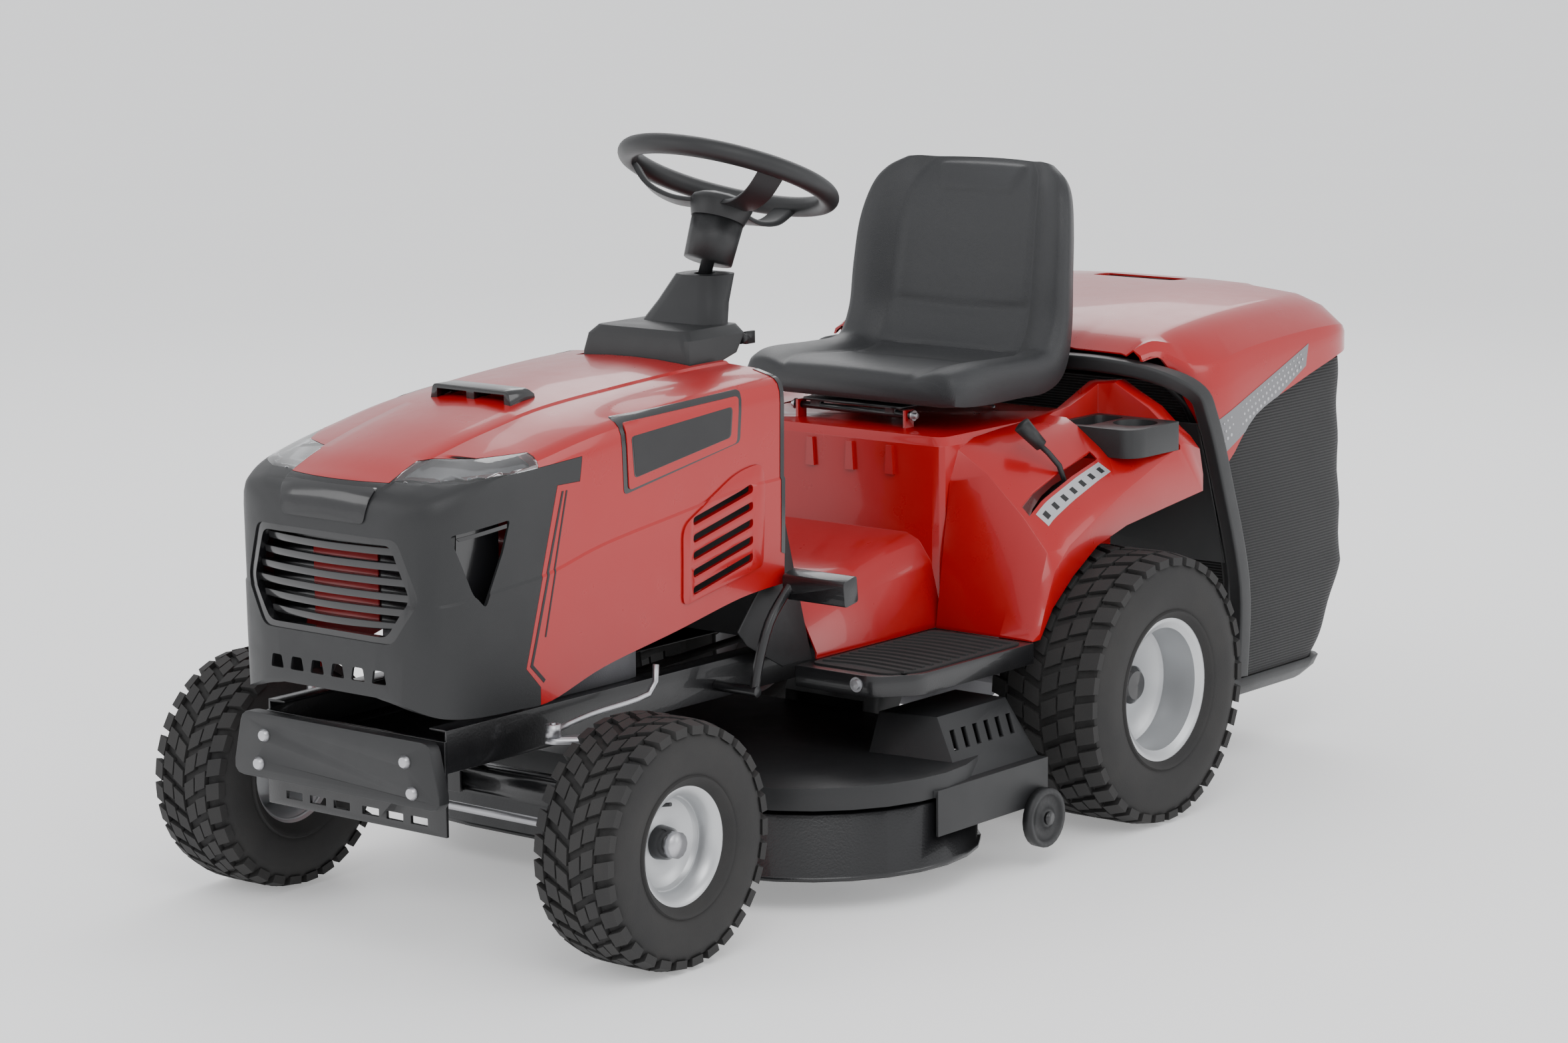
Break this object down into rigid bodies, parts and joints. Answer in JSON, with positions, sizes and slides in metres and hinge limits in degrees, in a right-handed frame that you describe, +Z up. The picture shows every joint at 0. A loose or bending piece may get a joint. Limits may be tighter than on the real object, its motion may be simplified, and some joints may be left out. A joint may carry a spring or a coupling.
{
  "type": "riding lawn mower",
  "caption": "Riding lawn mower with front engine under a tilting hood, mid-mounted cutting deck, steering wheel, seat and a tipping rear grass collector.",
  "frame": {"origin": "on the ground under the middle of the machine's length and width", "axes": "+X to the operator's left, +Y to the rear, +Z up"},
  "size_m": [1.086, 2.271, 1.1703],
  "materials": {
    "red_plastic": "gloss red moulded bodywork",
    "black_metal": "gloss black paint",
    "satin_plastic": "satin dark grey moulding",
    "black_plastic": "gloss black moulding",
    "tyre": "matt rubber with turf tread",
    "belt": "matt rubber",
    "rim": "silver paint",
    "steel": "plain steel",
    "alloy": "cast alloy",
    "blower": "red moulded shroud",
    "vinyl": "black grained vinyl over foam",
    "fabric": "black ribbed fabric",
    "lens": "clear lens"
  },
  "bodies": {
    "chassis": {"chassis_frame": "black_metal", "bumper_plate": "black_metal", "tow_plate": "black_metal", "rear_plate": "satin_plastic", "rear_surround": "satin_plastic", "engine_block": "alloy", "blower_housing": "blower", "drive_belt": "belt", "transaxle": "alloy", "dash_panel": "satin_plastic", "dash_console": "satin_plastic", "rear_body": "red_plastic", "footboard_left": "black_metal", "footboard_right": "black_metal", "cup_holder": "satin_plastic", "seat_spring_left": "steel", "seat_spring_right": "steel", "discharge_chute": "satin_plastic"},
    "crank": {"engine_pulley": "steel"},
    "drive_sheave": {"drive_pulley": "steel"},
    "front_axle": {"front_axle_beam": "black_metal"},
    "steering": {"steering_wheel": "satin_plastic", "steering_column": "steel"},
    "stub_left": {"knuckle_left": "steel"},
    "stub_right": {"knuckle_right": "steel"},
    "track_rod": {"tie_rod": "steel"},
    "steer_link": {"drag_link": "steel"},
    "front_wheel_left": {"front_tyre_left": "tyre", "front_rim_left": "rim"},
    "front_wheel_right": {"front_tyre_right": "tyre", "front_rim_right": "rim"},
    "rear_wheel_left": {"rear_tyre_left": "tyre", "rear_rim_left": "rim", "rear_axle_left": "steel"},
    "rear_wheel_right": {"rear_tyre_right": "tyre", "rear_rim_right": "rim", "rear_axle_right": "steel"},
    "hood": {"hood_shell": "red_plastic", "hood_scoop": "black_plastic", "nose_cowl": "satin_plastic", "grille": "black_plastic", "headlight_left": "lens", "headlight_right": "lens"},
    "throttle": {"throttle_lever": "satin_plastic"},
    "key": {"ignition_key": "satin_plastic"},
    "lift_lever": {"height_lever": "steel"},
    "shift_lever": {"gear_lever": "steel"},
    "pedal": {"brake_pedal": "black_metal"},
    "seat_frame": {"seat_bracket": "black_metal"},
    "seat_shell": {"seat": "vinyl"},
    "deck": {"deck_shell": "black_metal", "deck_cover": "satin_plastic", "deck_belt": "belt"},
    "cutter_left": {"blade_left": "steel"},
    "cutter_right": {"blade_right": "steel"},
    "roller_left": {"scalp_wheel_left": "satin_plastic"},
    "roller_right": {"scalp_wheel_right": "satin_plastic"},
    "collector": {"collector_frame": "satin_plastic", "collector_bag": "fabric", "collector_lid": "red_plastic"}
  },
  "joints": [
    {"name": "crank_spin", "type": "hinge", "parent": "chassis", "child": "crank", "pos_m": [0, -0.7445, 0.3], "axis": [0, 0, 1], "continuous": true},
    {"name": "drive_sheave_spin", "type": "hinge", "parent": "chassis", "child": "drive_sheave", "pos_m": [-0.11, 0.1455, 0.285], "axis": [0, 0, 1], "continuous": true},
    {"name": "axle_rock", "type": "hinge", "parent": "chassis", "child": "front_axle", "pos_m": [0, -0.8745, 0.232], "axis": [0, 1, 0], "range_deg": [-6, 6]},
    {"name": "steering_turn", "type": "hinge", "parent": "chassis", "child": "steering", "pos_m": [0, -0.2035, 1.092], "axis": [0, 0.3762, 0.9265], "range_deg": [-115, 115]},
    {"name": "stub_turn_left", "type": "hinge", "parent": "front_axle", "child": "stub_left", "pos_m": [0.3, -0.8745, 0.232], "axis": [0, 0, 1], "range_deg": [-30, 30]},
    {"name": "stub_turn_right", "type": "hinge", "parent": "front_axle", "child": "stub_right", "pos_m": [-0.3, -0.8745, 0.232], "axis": [0, 0, 1], "range_deg": [-30, 30]},
    {"name": "track_rod_turn", "type": "hinge", "parent": "stub_left", "child": "track_rod", "pos_m": [0.3, -0.7845, 0.15], "axis": [0, 0, 1], "range_deg": [-30, 30]},
    {"name": "steer_link_turn", "type": "hinge", "parent": "stub_left", "child": "steer_link", "pos_m": [0.25, -0.9215, 0.337], "axis": [0, 0, 1], "range_deg": [-30, 30]},
    {"name": "front_wheel_spin_left", "type": "hinge", "parent": "stub_left", "child": "front_wheel_left", "pos_m": [0.4, -0.8745, 0.187], "axis": [1, 0, 0], "continuous": true},
    {"name": "front_wheel_spin_right", "type": "hinge", "parent": "stub_right", "child": "front_wheel_right", "pos_m": [-0.4, -0.8745, 0.187], "axis": [1, 0, 0], "continuous": true},
    {"name": "rear_wheel_spin_left", "type": "hinge", "parent": "chassis", "child": "rear_wheel_left", "pos_m": [0.437, 0.2755, 0.2286], "axis": [1, 0, 0], "continuous": true},
    {"name": "rear_wheel_spin_right", "type": "hinge", "parent": "chassis", "child": "rear_wheel_right", "pos_m": [-0.437, 0.2755, 0.2286], "axis": [1, 0, 0], "continuous": true},
    {"name": "hood_open", "type": "hinge", "parent": "chassis", "child": "hood", "pos_m": [0, -1.0795, 0.4], "axis": [1, 0, 0], "range_deg": [0, 65]},
    {"name": "throttle_turn", "type": "hinge", "parent": "chassis", "child": "throttle", "pos_m": [-0.088, -0.2765, 0.842], "axis": [1, 0, 0], "range_deg": [-20, 20]},
    {"name": "key_turn", "type": "hinge", "parent": "chassis", "child": "key", "pos_m": [0.088, -0.2765, 0.842], "axis": [0, 1, 0], "range_deg": [0, 60]},
    {"name": "deck_lift", "type": "slide", "parent": "chassis", "child": "deck", "axis": [0, 0, 1], "range_m": [-0.03, 0.011]},
    {"name": "lift_lever_turn", "type": "hinge", "parent": "chassis", "child": "lift_lever", "pos_m": [0.262, 0.2355, 0.4], "axis": [1, 0, 0], "range_deg": [-11, 26.5]},
    {"name": "shift_lever_turn", "type": "hinge", "parent": "chassis", "child": "shift_lever", "pos_m": [-0.29, 0.2955, 0.56], "axis": [1, 0, 0], "range_deg": [-8, 8]},
    {"name": "pedal_turn", "type": "hinge", "parent": "chassis", "child": "pedal", "pos_m": [0.262, -0.4705, 0.322], "axis": [1, 0, 0], "range_deg": [0, 20], "stiffness_Nm_per_rad": 12, "springref_deg": -11.46},
    {"name": "seat_tilt", "type": "hinge", "parent": "chassis", "child": "seat_frame", "pos_m": [0, 0.1215, 0.672], "axis": [1, 0, 0], "range_deg": [0, 55]},
    {"name": "seat_slide", "type": "slide", "parent": "seat_frame", "child": "seat_shell", "axis": [0, 1, 0], "range_m": [-0.05, 0.01]},
    {"name": "blade_spin_left", "type": "hinge", "parent": "deck", "child": "cutter_left", "pos_m": [0.25, -0.3095, 0.075], "axis": [0, 0, 1], "continuous": true},
    {"name": "blade_spin_right", "type": "hinge", "parent": "deck", "child": "cutter_right", "pos_m": [-0.25, -0.3095, 0.075], "axis": [0, 0, 1], "continuous": true},
    {"name": "roller_spin_left", "type": "hinge", "parent": "deck", "child": "roller_left", "pos_m": [0.529, -0.0685, 0.08], "axis": [1, 0, 0], "continuous": true},
    {"name": "roller_spin_right", "type": "hinge", "parent": "deck", "child": "roller_right", "pos_m": [-0.529, -0.0685, 0.08], "axis": [1, 0, 0], "continuous": true},
    {"name": "collector_tip", "type": "hinge", "parent": "chassis", "child": "collector", "pos_m": [0, 0.4915, 0.746], "axis": [1, 0, 0], "range_deg": [0, 65]}
  ],
  "couplings": [
    {"joint": "drive_sheave_spin", "follows": "crank_spin", "ratio": 1},
    {"joint": "stub_turn_left", "follows": "steering_turn", "ratio": 0.26},
    {"joint": "stub_turn_right", "follows": "steering_turn", "ratio": 0.26},
    {"joint": "track_rod_turn", "follows": "steering_turn", "ratio": -0.26},
    {"joint": "steer_link_turn", "follows": "steering_turn", "ratio": -0.26},
    {"joint": "lift_lever_turn", "follows": "deck_lift", "rad_per_m": -15},
    {"joint": "blade_spin_right", "follows": "blade_spin_left", "ratio": 1}
  ]
}
